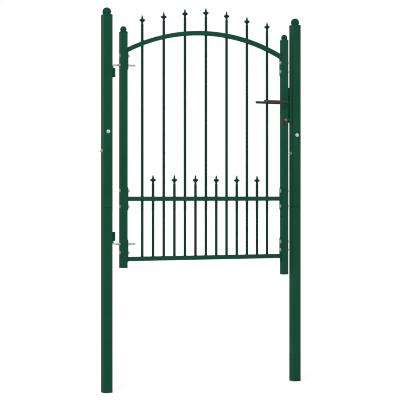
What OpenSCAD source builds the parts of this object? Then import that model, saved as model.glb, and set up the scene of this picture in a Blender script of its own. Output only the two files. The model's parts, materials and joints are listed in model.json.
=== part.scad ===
// Garden gate: an arched leaf with spear-topped bars, hung between two square steel posts.
// Millimetres. The origin is the centre of the hinge post's foot. X runs to the latch post,
// Y runs to the back of the gate and Z is up.

/* [Posts] */
// Width of each square post
post_w = 42; // [36:1:50]
// Wall of the post tubes
post_wall = 1.5; // [1.2:0.1:2.5]
// Outside corner radius of the post tubes
post_corner_r = 2.5; // [1.8:0.1:3.5]
// Height of the post tubes' top above their feet
post_top_z = 1707; // [1690:1:1800]
// Distance between the centres of the two posts
post_spacing = 965; // [900:5:1100]
// Height at which the lower and upper section of a post meet
post_joint_z = 840; // [780:5:900]
// Height of the groove that shows where the two sections of a post meet
post_groove_h = 1; // [0.4:0.1:1.5]
// Thickness of the plug's flange under a post
post_foot_t = 5; // [3:0.5:8]
// Height of the bolts that run from front to back through a post
front_bolt_z = 1183; // [1150:1:1220]
// Height of the bolts that run from side to side through a post
side_bolt_z = 1095; // [1060:5:1130]

/* [Leaf frame] */
// Width of the square stiles
stile_w = 31; // [26:1:34]
// Wall of the stile tubes
stile_wall = 1.5; // [1.2:0.1:2.5]
// Outside corner radius of the stile tubes
stile_corner_r = 2; // [1.6:0.1:3]
// Clear gap between the hinge post and the leaf
hinge_gap = 44; // [42:1:60]
// Clear gap between the leaf and the latch post
latch_gap = 22; // [21:1:30]
// Height of the stile tubes' top
stile_top_z = 1634; // [1620:1:1680]
// Height of the underside of the hinge stile
hinge_stile_bottom_z = 563; // [500:1:575]
// Height of the underside of the latch stile
latch_stile_bottom_z = 514; // [480:1:560]
// Thickness of the plug's flange under a stile
stile_foot_t = 3; // [2:0.5:5]

/* [Rails and bars] */
// Width of the square rail tubes
rail_w = 20; // [18:1:24]
// Wall of the rail tubes
rail_wall = 1.5; // [1.2:0.1:2]
// Outside corner radius of the rail tubes
rail_corner_r = 2; // [1.6:0.1:3]
// Height of the middle rail's centre line
middle_rail_z = 878; // [850:1:900]
// Height of the bottom rail's centre line
bottom_rail_z = 603; // [600:1:615]
// Height of the arch's centre line where it meets the stiles
arch_end_z = 1556; // [1545:1:1580]
// Rise of the arch's centre line from its ends to its crown
arch_rise = 96; // [60:1:120]
// Number of tall bars, with a short bar between each two
tall_count = 7; // [5:1:9]
// Distance from a stile's inner face to the centre of the first bar
end_gap = 77; // [60:0.5:90]
// Diameter of the bars
bar_d = 12; // [10:0.1:14]
// Wall of the bar tubes
bar_wall = 1.2; // [1:0.1:1.6]
// Height of the spear tips above the arch's centre line, from the end bars inwards
tip_rises = [130, 116, 116, 119]; // [90:1:140]
// Height of the short bars' spear tips above the middle rail's centre line
short_tip_rise = 110; // [90:1:140]

/* [Spear heads] */
// Diameter of the collar round a spear head
collar_d = 26.5; // [22:0.5:30]
// Height of the collar
collar_h = 10; // [8:0.5:12]
// Length of the point above the collar's middle
point_l = 23.5; // [20:0.5:30]
// Diameter of the neck below the collar
neck_d = 9.6; // [8:0.1:9.8]
// Length of the neck below the collar's middle
neck_l = 22; // [18:0.5:26]

/* [End plates] */
// Thickness of the plates between the rails and the stiles
plate_t = 4; // [3:0.5:6]
// Width of the plates
plate_w = 27; // [24:0.5:28]
// Chamfer on the free ends of the plates
plate_chamfer = 4; // [2:0.5:6]
// Length of an upper plate below the arch's end
upper_plate_drop = 89; // [80:1:110]
// Length of a middle plate
middle_plate_l = 105; // [95:1:120]
// Distance between the two bolts of a middle plate
middle_bolt_pitch = 73; // [60:1:80]
// Length of a lower plate above the bottom rail's centre line
lower_plate_rise = 89; // [84:1:100]
// Diameter of the plate bolts
plate_bolt_d = 8; // [6:0.5:8.5]
// Height of the upper plate bolts
upper_bolt_z = 1530; // [1526:1:1534]
// Height of the lower plate bolts
lower_bolt_z = 632; // [630:1:640]
// Height of the lower pair of holes left open in the latch stile
low_spare_hole_z = 581; // [570:1:584]
// Height of the upper pair of holes left open in the latch stile
high_spare_hole_z = 792; // [770:1:810]

/* [Caps] */
// Height of a cap's straight edge
cap_rim = 4; // [3:0.5:6]
// How far a cap's edge stands out past its tube
cap_lip = 0.5; // [0.2:0.1:1]
// Bevel of a cap's top, up and in
cap_bevel = 4.2; // [2:0.1:5]

/* [Hinges] */
// Diameter of the hinge rods
rod_d = 8; // [7:0.5:9]
// Distance from the hinge post's face to the hinge axis
pivot_out = 10; // [9:0.5:12]
// Radius of the rods' bend, on their centre line
rod_bend_r = 10; // [9:0.5:12]
// Height of the upper hinge rod
upper_rod_z = 1487; // [1480:1:1495]
// Height of the lower hinge rod
lower_rod_z = 672; // [668:1:676]
// Distance between a hinge rod and its lug
rod_lug_gap = 15; // [13:0.5:18]
// Height of a hinge lug
lug_h = 41; // [36:1:50]
// Reach of a hinge lug from the post's face
lug_reach = 18; // [17:0.5:22]
// Width of a hinge lug
lug_w = 14; // [13:0.5:20]
// Length of thread that shows past the inner nut
rod_tail = 33; // [25:1:40]

/* [Lock] */
// Height of the levers' axis
lever_z = 1340; // [1320:1:1360]
// Distance of the lock's axis from the latch stile's middle, towards the hinges
lock_set = 1.5; // [0:0.5:3]
// Diameter of the levers' bar
lever_d = 13; // [12:0.5:16]
// Distance from the leaf's middle plane to the levers' grips
lever_out = 44.5; // [42:0.5:60]
// Length of the levers from their axis
lever_l = 128; // [110:1:140]
// Radius of the levers' bend, on its centre line
lever_bend_r = 14; // [12:0.5:18]
// Width of the levers' square spindle
spindle_w = 8; // [7:0.5:8.5]
// Diameter of the spindle's round hub, which turns in the latch stile
hub_d = 12; // [12:0.5:14]
// Distance from the levers' axis down to the key cylinder
cylinder_drop = 85; // [72:1:92]
// Length of the key cylinder
cylinder_l = 36; // [35:1:60]
// Diameter of the key cylinder's round part
cylinder_d = 17; // [16:0.5:18]
// Height of the key cylinder's whole profile
cylinder_h = 33; // [31:0.5:34]
// Width of the key cylinder's lower part
cylinder_web = 10; // [9:0.5:11]
// Thickness of the lock's face plate
face_plate_t = 2; // [1.5:0.5:2.5]
// Width of the lock's face plate
face_plate_w = 20; // [18:1:22]
// Length of the latch nose that stands out of the face plate
nose_out = 1.5; // [1:0.5:2]

/* [Keep] */
// Depth of the keep box from the latch post's face
keep_depth = 13; // [12:0.5:14]
// Width of the keep box
keep_w = 19; // [19:1:30]
// Wall of the keep box
keep_wall = 2; // [1.5:0.1:2.2]
// Reach of the keep box above the levers' axis
keep_above = 71; // [60:1:80]
// Reach of the keep box below the levers' axis
keep_below = 97; // [92:1:110]

/* [Hidden] */
fit = 0.25;            // clearance of a piece that is pushed into a tube, each side
bolt_fit = 0.2;        // radial clearance of a bolt in its hole
pin_fit = 0.1;         // radial clearance of a hinge rod in its lug and of the hub in the stile
turn_gap = 0.4;        // gap between a lever and the stile that it turns against
eps = 0.01;            // overrun of a cut past a face
fine = 96;             // steps in a full circle
arch_steps = 720;      // steps in the arch's full circle

latch_x = post_spacing;
hinge_stile_x = post_w/2 + hinge_gap + stile_w/2;
latch_stile_x = post_spacing - post_w/2 - latch_gap - stile_w/2;
lock_x = latch_stile_x - lock_set;
panel_x0 = hinge_stile_x + stile_w/2;
panel_x1 = latch_stile_x - stile_w/2;
panel_mid_x = (panel_x0 + panel_x1)/2;
half_chord = (panel_x1 - panel_x0)/2;
arch_r = (half_chord*half_chord + arch_rise*arch_rise)/(2*arch_rise);
arch_centre_z = arch_end_z + arch_rise - arch_r;
rail_x0 = panel_x0 + plate_t;
rail_x1 = panel_x1 - plate_t;

bar_pitch = (panel_x1 - panel_x0 - 2*end_gap)/(2*(tall_count - 1));
bar_foot_z = bottom_rail_z + rail_w/2;
tall_x = [for (i = [0:tall_count - 1]) panel_x0 + end_gap + 2*i*bar_pitch];
short_x = [for (i = [0:tall_count - 2]) panel_x0 + end_gap + (2*i + 1)*bar_pitch];
all_x = concat(tall_x, short_x);
function arch_z(x) = arch_centre_z + sqrt(arch_r*arch_r - (x - panel_mid_x)*(x - panel_mid_x));
function from_end(i) = min(i, tall_count - 1 - i, len(tip_rises) - 1);
tall_tip_z = [for (i = [0:tall_count - 1]) arch_z(tall_x[i]) + tip_rises[from_end(i)]];

groove_in = 0.75*post_wall;  // depth of the groove between a post's sections
sleeve_w = post_w - 2*post_wall - 2*fit;
sleeve_below = 160;    // part of the sleeve in the lower section
sleeve_above = 45;     // part of the sleeve above the higher bolt
sleeve_z0 = post_joint_z - sleeve_below;
sleeve_z1 = max(front_bolt_z, side_bolt_z) + sleeve_above;
post_bolt_d = 8;
post_bolt_tail = 3.5;  // thread past the nut
post_head_d = 19;
post_head_h = 4.6;
post_nut_af = 13;
post_nut_h = 6.5;
washer_t = 1.6;
washer_d = 17;
plug_l = 22;           // length of a plug or cap inside its tube
plug_wall = 2.5;       // wall of that part
ball_share = 0.945;     // width of a cap's ball for each millimetre of its tube's width
ball_seat = 0.57;      // height of the ball's centre over the cap, for each millimetre of its radius

plate_head_d = 19;
plate_head_h = 4;
plate_nut_af = 13;
plate_nut_h = 6.5;
plate_bolt_tail = 4;
spare_hole_d = 10;

pivot_x = post_w/2 + pivot_out;
rod_nut_af = 13;
rod_nut_h = 6.5;
lug_end_gap = 4;       // how far a hinge rod stops short of its lug's far end

hub_gap = 0.2;         // how far the hub stands out of the stile on each side
socket_l = 20;         // depth of the spindle's socket in a lever
cylinder_z = lever_z - cylinder_drop;
face_plate_top_l = 90; // length of the face plate above the levers' axis
face_plate_foot_l = 150; // length of the face plate below it
nose_rise = 22;        // height of the latch nose above the levers' axis
nose_z = lever_z + nose_rise;
nose_w = 10;
nose_h = 18;
dead_drop = 58;        // depth of the dead bolt below the levers' axis
dead_z = lever_z - dead_drop;
dead_h = 26;
slot_margin = 3;       // room above and below a bolt in the keep's slots
slot_side = 2;         // room beside it
slot_w = nose_w + 2*slot_side;

// ---------- shapes that repeat ----------

// A square with rounded corners, centred
module rounded_square(w, r) {
    square([w - 2*r, w], center = true);
    square([w, w - 2*r], center = true);
    for (x = [-1, 1], y = [-1, 1])
        translate([x*(w/2 - r), y*(w/2 - r)]) circle(r = r, $fn = fine);
}

// The wall of a square tube, in section
module tube_section(w, wall, r) {
    difference() {
        rounded_square(w, r);
        rounded_square(w - 2*wall, max(r - wall, 0.3));
    }
}

// A standing square tube from z0 to z1
module post_tube(w, wall, r, z0, z1) {
    translate([0, 0, z0]) linear_extrude(z1 - z0) tube_section(w, wall, r);
}

// A cylinder along X or along Y
module along_x(x0, x1, d) {
    translate([x0, 0, 0]) rotate([0, 90, 0]) cylinder(d = d, h = x1 - x0, $fn = fine);
}
module along_y(y0, y1, d) {
    translate([0, y1, 0]) rotate([90, 0, 0]) cylinder(d = d, h = y1 - y0, $fn = fine);
}

// The hollow part of a cap or plug that is pushed into a tube, going down from z = 0
module insert(w, wall, r) {
    fit_w = w - 2*wall - 2*fit;
    translate([0, 0, -plug_l]) linear_extrude(plug_l) difference() {
        rounded_square(fit_w, r - wall + fit);
        square(fit_w - 2*plug_wall, center = true);
    }
}

// A cap on a tube's top at z = 0: a bevelled plate, a ball on it and the insert below
module ball_cap(w, wall, r) {
    half = w/2 + cap_lip;
    cap_t = cap_rim + cap_bevel;
    in = half - cap_bevel;
    side = [[-half, 0], [half, 0], [half, cap_rim], [in, cap_t], [-in, cap_t], [-half, cap_rim]];
    intersection() {
        translate([0, half, 0]) rotate([90, 0, 0]) linear_extrude(2*half) polygon(side);
        translate([-half, 0, 0]) rotate([90, 0, 90]) linear_extrude(2*half) polygon(side);
        linear_extrude(cap_t) rounded_square(2*half, r);
    }
    ball_r = ball_share*w/2;
    difference() {
        translate([0, 0, cap_t + ball_seat*ball_r]) sphere(r = ball_r, $fn = fine);
        translate([0, 0, -ball_r + cap_rim]) cube([w, w, 2*ball_r], center = true);
    }
    insert(w, wall, r);
}

// A plug in a tube's foot: its flange goes from z = 0 up to t, and the insert on from there
module foot_plug(w, wall, r, t) {
    linear_extrude(t) rounded_square(w, r);
    translate([0, 0, t]) mirror([0, 0, 1]) insert(w, wall, r);
}

// A mushroom-headed bolt: the underside of its head is at z = 0, its shank goes down
module coach_bolt(d, l, head_d, head_h) {
    dome_r = (head_d*head_d/4 + head_h*head_h)/(2*head_h);
    intersection() {
        translate([0, 0, head_h - dome_r]) sphere(r = dome_r, $fn = fine);
        cylinder(d = head_d, h = head_h, $fn = fine);
    }
    translate([0, 0, -l]) cylinder(d = d, h = l, $fn = fine);
}

// A hexagon nut from z = 0 up, on a bolt of diameter d
module hex_nut(d, across, h) {
    difference() {
        cylinder(d = across/cos(30), h = h, $fn = 6);
        translate([0, 0, -eps]) cylinder(d = d + 2*bolt_fit, h = h + 2*eps, $fn = fine);
    }
}

// A washer from z = 0 up
module washer(d, outer, t) {
    difference() {
        cylinder(d = outer, h = t, $fn = fine);
        translate([0, 0, -eps]) cylinder(d = d + 2*bolt_fit, h = t + 2*eps, $fn = fine);
    }
}

// Places its child with its +Z towards the left of the gate (-X), or towards the right (+X)
module facing_left(x, z) { translate([x, 0, z]) rotate([0, -90, 0]) children(); }
module facing_right(x, z) { translate([x, 0, z]) rotate([0, 90, 0]) children(); }
module facing_front(x, z, y) { translate([x, y, z]) rotate([90, 0, 0]) children(); }
module facing_back(x, z, y) { translate([x, y, z]) rotate([-90, 0, 0]) children(); }

// ---------- posts ----------

post_xs = [0, latch_x];

// The holes for a post's two crossing bolts
module post_bolt_holes() {
    d = post_bolt_d + 2*bolt_fit;
    translate([0, 0, front_bolt_z]) along_y(-post_w, post_w, d);
    translate([0, 0, side_bolt_z]) along_x(-post_w, post_w, d);
}

module post_foot(x) {
    translate([x, 0, 0]) foot_plug(post_w, post_wall, post_corner_r, post_foot_t);
}

module post_lower(x) {
    translate([x, 0, 0]) post_tube(post_w, post_wall, post_corner_r, post_foot_t, post_joint_z);
}

module post_sleeve(x) {
    translate([x, 0, 0]) difference() {
        post_tube(sleeve_w, post_wall, post_corner_r - post_wall + fit, sleeve_z0, sleeve_z1);
        post_bolt_holes();
    }
}

module post_upper(x) {
    translate([x, 0, 0]) difference() {
        union() {
            post_tube(post_w - 2*groove_in, post_wall - groove_in, post_corner_r - groove_in, post_joint_z,
                post_joint_z + post_groove_h);
            post_tube(post_w, post_wall, post_corner_r, post_joint_z + post_groove_h, post_top_z);
        }
        post_bolt_holes();
    }
}

module post_cap(x) {
    translate([x, 0, post_top_z]) ball_cap(post_w, post_wall, post_corner_r);
}

module hinge_post_foot() { color("#16352a") post_foot(0); }
module hinge_post_lower() { color("#1b4b3a") post_lower(0); }
module hinge_post_sleeve() { color("#8a8f92") post_sleeve(0); }
module hinge_post_upper() { color("#1b4b3a") post_upper(0); }
module hinge_post_cap() { color("#1b4b3a") post_cap(0); }
module latch_post_foot() { color("#16352a") post_foot(latch_x); }
module latch_post_lower() { color("#1b4b3a") post_lower(latch_x); }
module latch_post_sleeve() { color("#8a8f92") post_sleeve(latch_x); }
module latch_post_upper() { color("#1b4b3a") post_upper(latch_x); }
module latch_post_cap() { color("#1b4b3a") post_cap(latch_x); }

// Two coach bolts cross each post: one from the front, one from its right side
module post_bolts() {
    color("#c9ced0") for (x = post_xs) {
        l = post_w + washer_t + post_nut_h + post_bolt_tail;
        facing_front(x, front_bolt_z, -post_w/2) coach_bolt(post_bolt_d, l, post_head_d, post_head_h);
        facing_right(x + post_w/2, side_bolt_z) coach_bolt(post_bolt_d, l, post_head_d, post_head_h);
    }
}

// A washer and a nut on each post bolt
module post_nuts() {
    color("#c9ced0") for (x = post_xs) {
        facing_back(x, front_bolt_z, post_w/2) washer_and_nut();
        facing_left(x - post_w/2, side_bolt_z) washer_and_nut();
    }
}

module washer_and_nut() {
    washer(post_bolt_d, washer_d, washer_t);
    translate([0, 0, washer_t]) hex_nut(post_bolt_d, post_nut_af, post_nut_h);
}

// ---------- hinges ----------

// A lug welded to the post's side, with an upright bore for the hinge rod
module hinge_lug(z0) {
    difference() {
        translate([post_w/2, -lug_w/2, z0]) cube([lug_reach, lug_w, lug_h]);
        translate([pivot_x, 0, z0 - eps]) cylinder(d = rod_d + 2*pin_fit, h = lug_h + 2*eps, $fn = fine);
    }
}

module upper_hinge_lug() { color("#1b4b3a") hinge_lug(upper_rod_z - rod_lug_gap - lug_h); }
module lower_hinge_lug() { color("#1b4b3a") hinge_lug(lower_rod_z + rod_lug_gap); }

// A threaded rod bent at a right angle: it runs through the stile at z = 0 and goes down at the pivot
module hinge_rod() {
    tail_x = rail_x0 + rod_nut_h + rod_tail;
    leg_l = rod_lug_gap + lug_h - lug_end_gap - rod_bend_r;
    along_x(pivot_x + rod_bend_r, tail_x, rod_d);
    translate([pivot_x + rod_bend_r, 0, -rod_bend_r]) rotate([90, 0, 0])
        rotate([0, 0, 90]) rotate_extrude(angle = 90, $fn = fine)
            translate([rod_bend_r, 0]) circle(d = rod_d, $fn = fine);
    translate([pivot_x, 0, -rod_bend_r - leg_l]) cylinder(d = rod_d, h = leg_l, $fn = fine);
}

module upper_hinge_rod() { color("#c9ced0") translate([0, 0, upper_rod_z]) hinge_rod(); }
module lower_hinge_rod() { color("#c9ced0") translate([0, 0, lower_rod_z]) mirror([0, 0, 1]) hinge_rod(); }

// A nut on each side of the stile, on both rods
module hinge_rod_nuts() {
    color("#c9ced0") for (z = [upper_rod_z, lower_rod_z]) {
        facing_left(panel_x0 - stile_w, z) hex_nut(rod_d, rod_nut_af, rod_nut_h);
        facing_right(rail_x0, z) hex_nut(rod_d, rod_nut_af, rod_nut_h);
    }
}

// ---------- stiles ----------

hinge_side_bolt_zs = [upper_bolt_z, middle_rail_z + middle_bolt_pitch/2, middle_rail_z - middle_bolt_pitch/2,
    lower_bolt_z];
latch_side_bolt_zs = concat([upper_rod_z, lower_rod_z], hinge_side_bolt_zs);
rod_zs = [upper_rod_z, lower_rod_z];

module hinge_stile() {
    color("#1b4b3a") translate([hinge_stile_x, 0, 0]) difference() {
        post_tube(stile_w, stile_wall, stile_corner_r, hinge_stile_bottom_z + stile_foot_t, stile_top_z);
        for (z = hinge_side_bolt_zs)
            translate([0, 0, z]) along_x(-stile_w, stile_w, plate_bolt_d + 2*bolt_fit);
        for (z = rod_zs) translate([0, 0, z]) along_x(-stile_w, stile_w, rod_d + 2*bolt_fit);
    }
}

module latch_stile() {
    color("#1b4b3a") translate([latch_stile_x, 0, 0]) difference() {
        post_tube(stile_w, stile_wall, stile_corner_r, latch_stile_bottom_z + stile_foot_t, stile_top_z);
        for (z = latch_side_bolt_zs)
            translate([0, 0, z]) along_x(-stile_w, stile_w, plate_bolt_d + 2*bolt_fit);
        for (z = [low_spare_hole_z, high_spare_hole_z])
            translate([0, 0, z]) along_x(-stile_w, 0, spare_hole_d);
        translate([-lock_set, 0, lever_z]) along_y(-stile_w, stile_w, hub_d + 2*pin_fit);
        translate([-lock_set, 0, 0]) cylinder_solid(stile_w, fit);
        nose_cut(0);
    }
}

module hinge_stile_cap() {
    color("#1b4b3a") translate([hinge_stile_x, 0, stile_top_z]) ball_cap(stile_w, stile_wall, stile_corner_r);
}
module latch_stile_cap() {
    color("#1b4b3a") translate([latch_stile_x, 0, stile_top_z]) ball_cap(stile_w, stile_wall, stile_corner_r);
}
module hinge_stile_plug() {
    color("#16352a") translate([hinge_stile_x, 0, hinge_stile_bottom_z])
        foot_plug(stile_w, stile_wall, stile_corner_r, stile_foot_t);
}
module latch_stile_plug() {
    color("#16352a") translate([latch_stile_x, 0, latch_stile_bottom_z])
        foot_plug(stile_w, stile_wall, stile_corner_r, stile_foot_t);
}

// ---------- rails and bars ----------

module straight_rail(z, xs, z0, z1) {
    difference() {
        translate([rail_x0, 0, z]) rotate([90, 0, 90]) linear_extrude(rail_x1 - rail_x0)
            tube_section(rail_w, rail_wall, rail_corner_r);
        for (x = xs) translate([x, 0, z0]) cylinder(d = bar_d + 2*bolt_fit, h = z1 - z0, $fn = fine);
    }
}

module middle_rail() {
    color("#1b4b3a") straight_rail(middle_rail_z, all_x, middle_rail_z - rail_w, middle_rail_z + rail_w);
}
module bottom_rail() { color("#1b4b3a") straight_rail(bottom_rail_z, [], 0, 0); }

// The arch is a square tube bent to a radius, its ends cut upright at the end plates
module arch_rail() {
    half_turn = asin((half_chord + rail_w)/arch_r);
    color("#1b4b3a") difference() {
        intersection() {
            translate([panel_mid_x, 0, arch_centre_z]) rotate([90, 0, 0])
                rotate([0, 0, 90 - half_turn]) rotate_extrude(angle = 2*half_turn, $fn = arch_steps)
                    translate([arch_r, 0]) tube_section(rail_w, rail_wall, rail_corner_r);
            translate([rail_x0, -rail_w, arch_end_z - 2*rail_w])
                cube([rail_x1 - rail_x0, 2*rail_w, arch_rise + 4*rail_w]);
        }
        for (x = tall_x) translate([x, 0, arch_z(x) - 2*rail_w])
            cylinder(d = bar_d + 2*bolt_fit, h = 4*rail_w, $fn = fine);
    }
}

// A bar: a round tube from the bottom rail up to the foot of its spear head
module bar(x, tip_z) {
    top_z = tip_z - point_l - neck_l;
    translate([x, 0, bar_foot_z]) difference() {
        cylinder(d = bar_d, h = top_z - bar_foot_z, $fn = fine);
        translate([0, 0, -eps]) cylinder(d = bar_d - 2*bar_wall, h = top_z - bar_foot_z + 2*eps, $fn = fine);
    }
}

module tall_bars() { color("#1b4b3a") for (i = [0:tall_count - 1]) bar(tall_x[i], tall_tip_z[i]); }
module short_bars() { color("#1b4b3a") for (x = short_x) bar(x, middle_rail_z + short_tip_rise); }

// A spear head turned from one piece: neck, thin round collar and a long point
collar_r = collar_d/2;
neck_r = neck_d/2;
waist = 1.4;           // the neck widens by this much where it meets the collar
lip_z = collar_h/2;
spear_outline = concat(
    [[0, -neck_l], [bar_d/2, -neck_l], [neck_r, 0.3*neck_l - neck_l], [neck_r, -0.55*neck_l],
     [neck_r*waist, -lip_z - 2.5]],
    [for (a = [-60:20:60]) [neck_r*waist + (collar_r - neck_r*waist)*cos(a), lip_z*sin(a)/sin(60)]],
    [[0.92*neck_r, lip_z + 4], [0.77*neck_r, 0.6*point_l], [0.35*neck_r, 0.87*point_l], [0, point_l]]);
module spear(x, tip_z) {
    translate([x, 0, tip_z - point_l]) rotate_extrude($fn = fine) polygon(spear_outline);
}

module tall_spears() { color("#1b4b3a") for (i = [0:tall_count - 1]) spear(tall_x[i], tall_tip_z[i]); }
module short_spears() { color("#1b4b3a") for (x = short_x) spear(x, middle_rail_z + short_tip_rise); }

// ---------- end plates and their bolts ----------

upper_plate_top = arch_end_z + rail_w/2;
upper_plate_zs = [upper_plate_top - rail_w/2 - upper_plate_drop, upper_plate_top];
middle_plate_zs = [middle_rail_z - middle_plate_l/2, middle_rail_z + middle_plate_l/2];
lower_plate_zs = [bottom_rail_z - rail_w/2 - plate_chamfer, bottom_rail_z + lower_plate_rise];

// A flat plate from x = 0 to plate_t, chamfered across its two ends
module end_plate(zs) {
    c = plate_chamfer;
    w = plate_w/2;
    rotate([90, 0, 90]) linear_extrude(plate_t) polygon([[-w + c, zs[0]], [w - c, zs[0]], [w, zs[0] + c],
        [w, zs[1] - c], [w - c, zs[1]], [-w + c, zs[1]], [-w, zs[1] - c], [-w, zs[0] + c]]);
}

module plate_set(x, bolt_zs, big_zs) {
    difference() {
        translate([x, 0, 0]) for (zs = [upper_plate_zs, middle_plate_zs, lower_plate_zs]) end_plate(zs);
        for (z = bolt_zs) translate([x, 0, z]) along_x(-eps, plate_t + eps, plate_bolt_d + 2*bolt_fit);
        for (z = big_zs) translate([x, 0, z]) along_x(-eps, plate_t + eps, rod_d + 2*bolt_fit);
    }
}

module hinge_side_plates() { color("#1b4b3a") plate_set(panel_x0, hinge_side_bolt_zs, rod_zs); }
module latch_side_plates() { color("#1b4b3a") plate_set(rail_x1, latch_side_bolt_zs, []); }

// Coach bolts through stile and plate: heads on the outside of the hinge stile, and on the
// plates of the latch stile, so that nothing stands into the latch gap but a nut
plate_bolt_l = stile_w + plate_t + plate_nut_h + plate_bolt_tail;
module plate_bolts() {
    color("#c9ced0") {
        for (z = hinge_side_bolt_zs)
            facing_left(panel_x0 - stile_w, z) coach_bolt(plate_bolt_d, plate_bolt_l, plate_head_d, plate_head_h);
        for (z = latch_side_bolt_zs)
            facing_left(rail_x1, z)
                coach_bolt(plate_bolt_d, plate_bolt_l - plate_bolt_tail + 1, plate_head_d, plate_head_h);
    }
}

module plate_nuts() {
    color("#c9ced0") {
        for (z = hinge_side_bolt_zs) facing_right(rail_x0, z) hex_nut(plate_bolt_d, plate_nut_af, plate_nut_h);
        for (z = latch_side_bolt_zs)
            facing_right(panel_x1 + stile_w, z) hex_nut(plate_bolt_d, plate_nut_af, plate_nut_h);
    }
}

// ---------- lock, levers and keep ----------

// The profile of a key cylinder, running from front to back, larger by grow on each side
module cylinder_solid(l, grow) {
    web_r = cylinder_web/2;
    drop = cylinder_h - cylinder_d/2 - web_r;
    translate([0, l/2, cylinder_z]) rotate([90, 0, 0]) linear_extrude(l) {
        circle(d = cylinder_d + 2*grow, $fn = fine);
        translate([-web_r - grow, -drop]) square([cylinder_web + 2*grow, drop]);
        translate([0, -drop]) circle(r = web_r + grow, $fn = fine);
    }
}

module lock_cylinder() {
    keyway_w = 2.4;
    keyway_h = 9;
    keyway_l = 6;
    color("#b9bcbb") translate([lock_x, 0, 0]) difference() {
        cylinder_solid(cylinder_l, 0);
        for (side = [-1, 1])
            translate([-keyway_w/2, side*(cylinder_l/2 - keyway_l/2) - keyway_l/2, cylinder_z - keyway_h/2 - 1])
                cube([keyway_w, keyway_l, keyway_h]);
    }
}

// The latch nose's outline, or the hole that it needs in the stile's outer wall
module nose_cut(grow) {
    translate([0, -nose_w/2 - grow, nose_z - nose_h/2 - grow])
        cube([stile_w, nose_w + 2*grow, nose_h + 2*grow]);
}

// The lock's face plate on the latch stile's outer side, with the latch nose drawn almost in
module lock_face_plate() {
    color("#b9bcbb") translate([latch_stile_x + stile_w/2, 0, 0]) {
        translate([0, -face_plate_w/2, lever_z - face_plate_foot_l])
            cube([face_plate_t, face_plate_w, face_plate_foot_l + face_plate_top_l]);
        translate([-stile_wall, -nose_w/2 + fit, nose_z - nose_h/2 + fit])
            cube([stile_wall + face_plate_t + nose_out, nose_w - 2*fit, nose_h - 2*fit]);
    }
}

// A round bar bent from the stile's front into a grip that points to the hinges
module lever() {
    start_y = stile_w/2 + turn_gap;
    difference() {
        union() {
            along_y(-lever_out + lever_bend_r, -start_y, lever_d);
            translate([-lever_bend_r, -lever_out + lever_bend_r, 0]) rotate([0, 0, -90])
                rotate_extrude(angle = 90, $fn = fine)
                    translate([lever_bend_r, 0]) circle(d = lever_d, $fn = fine);
            translate([0, -lever_out, 0]) along_x(-lever_l, -lever_bend_r, lever_d);
        }
        translate([0, -start_y - socket_l/2 + eps, 0])
            cube([spindle_w + fit, socket_l + 2*eps, spindle_w + fit], center = true);
    }
}

module front_lever() { color("#26282a") translate([lock_x, 0, lever_z]) lever(); }
module back_lever() { color("#26282a") translate([lock_x, 0, lever_z]) mirror([0, 1, 0]) lever(); }

// The square spindle in both levers' sockets, with the round hub that turns in the stile
module spindle() {
    l = stile_w + 2*turn_gap + 2*(socket_l - 1);
    hub_y = stile_w/2 + hub_gap;
    color("#8a8f92") translate([lock_x, 0, lever_z]) {
        cube([spindle_w, l, spindle_w], center = true);
        along_y(-hub_y, hub_y, hub_d);
    }
}

// A box on the latch post's side, with a slot for the latch and one for the dead bolt
module keep() {
    face_x = latch_x - post_w/2 - keep_depth;
    z0 = lever_z - keep_below;
    h = keep_below + keep_above;
    color("#1b4b3a") difference() {
        translate([face_x, -keep_w/2, z0]) cube([keep_depth, keep_w, h]);
        translate([face_x + keep_wall, -keep_w/2 + keep_wall, z0 + keep_wall])
            cube([keep_depth, keep_w - 2*keep_wall, h - 2*keep_wall]);
        translate([face_x - eps, -slot_w/2, nose_z - nose_h/2 - slot_margin])
            cube([keep_depth, slot_w, nose_h + 2*slot_margin]);
        translate([face_x - eps, -slot_w/2, dead_z - dead_h/2 - slot_margin])
            cube([keep_depth, slot_w, dead_h + 2*slot_margin]);
    }
}

// ---------- assembly ----------

hinge_post_foot();
hinge_post_lower();
hinge_post_sleeve();
hinge_post_upper();
hinge_post_cap();
latch_post_foot();
latch_post_lower();
latch_post_sleeve();
latch_post_upper();
latch_post_cap();
upper_hinge_lug();
lower_hinge_lug();
keep();
post_bolts();
post_nuts();
hinge_stile();
hinge_stile_cap();
hinge_stile_plug();
latch_stile();
latch_stile_cap();
latch_stile_plug();
arch_rail();
middle_rail();
bottom_rail();
tall_bars();
short_bars();
tall_spears();
short_spears();
hinge_side_plates();
latch_side_plates();
upper_hinge_rod();
lower_hinge_rod();
hinge_rod_nuts();
plate_bolts();
plate_nuts();
lock_face_plate();
lock_cylinder();
front_lever();
back_lever();
spindle();
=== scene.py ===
# %% [markdown]
# # A garden gate
# The object is an arched steel garden gate between two square posts. Its solids are already made and
# packed. This lesson gives them their finishes and models what a plain solid leaves out: ball caps, spear
# heads, domed bolts, hexagon nuts, screw threads, weld beads, levers and the key cylinder.
# All places are in metres. The origin is the foot of the hinge post, X runs to the latch post, Y to the
# back of the gate and Z up. Small sizes are written in millimetres and multiplied by MM.

# %% Load the frame
import json
import math

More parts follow.
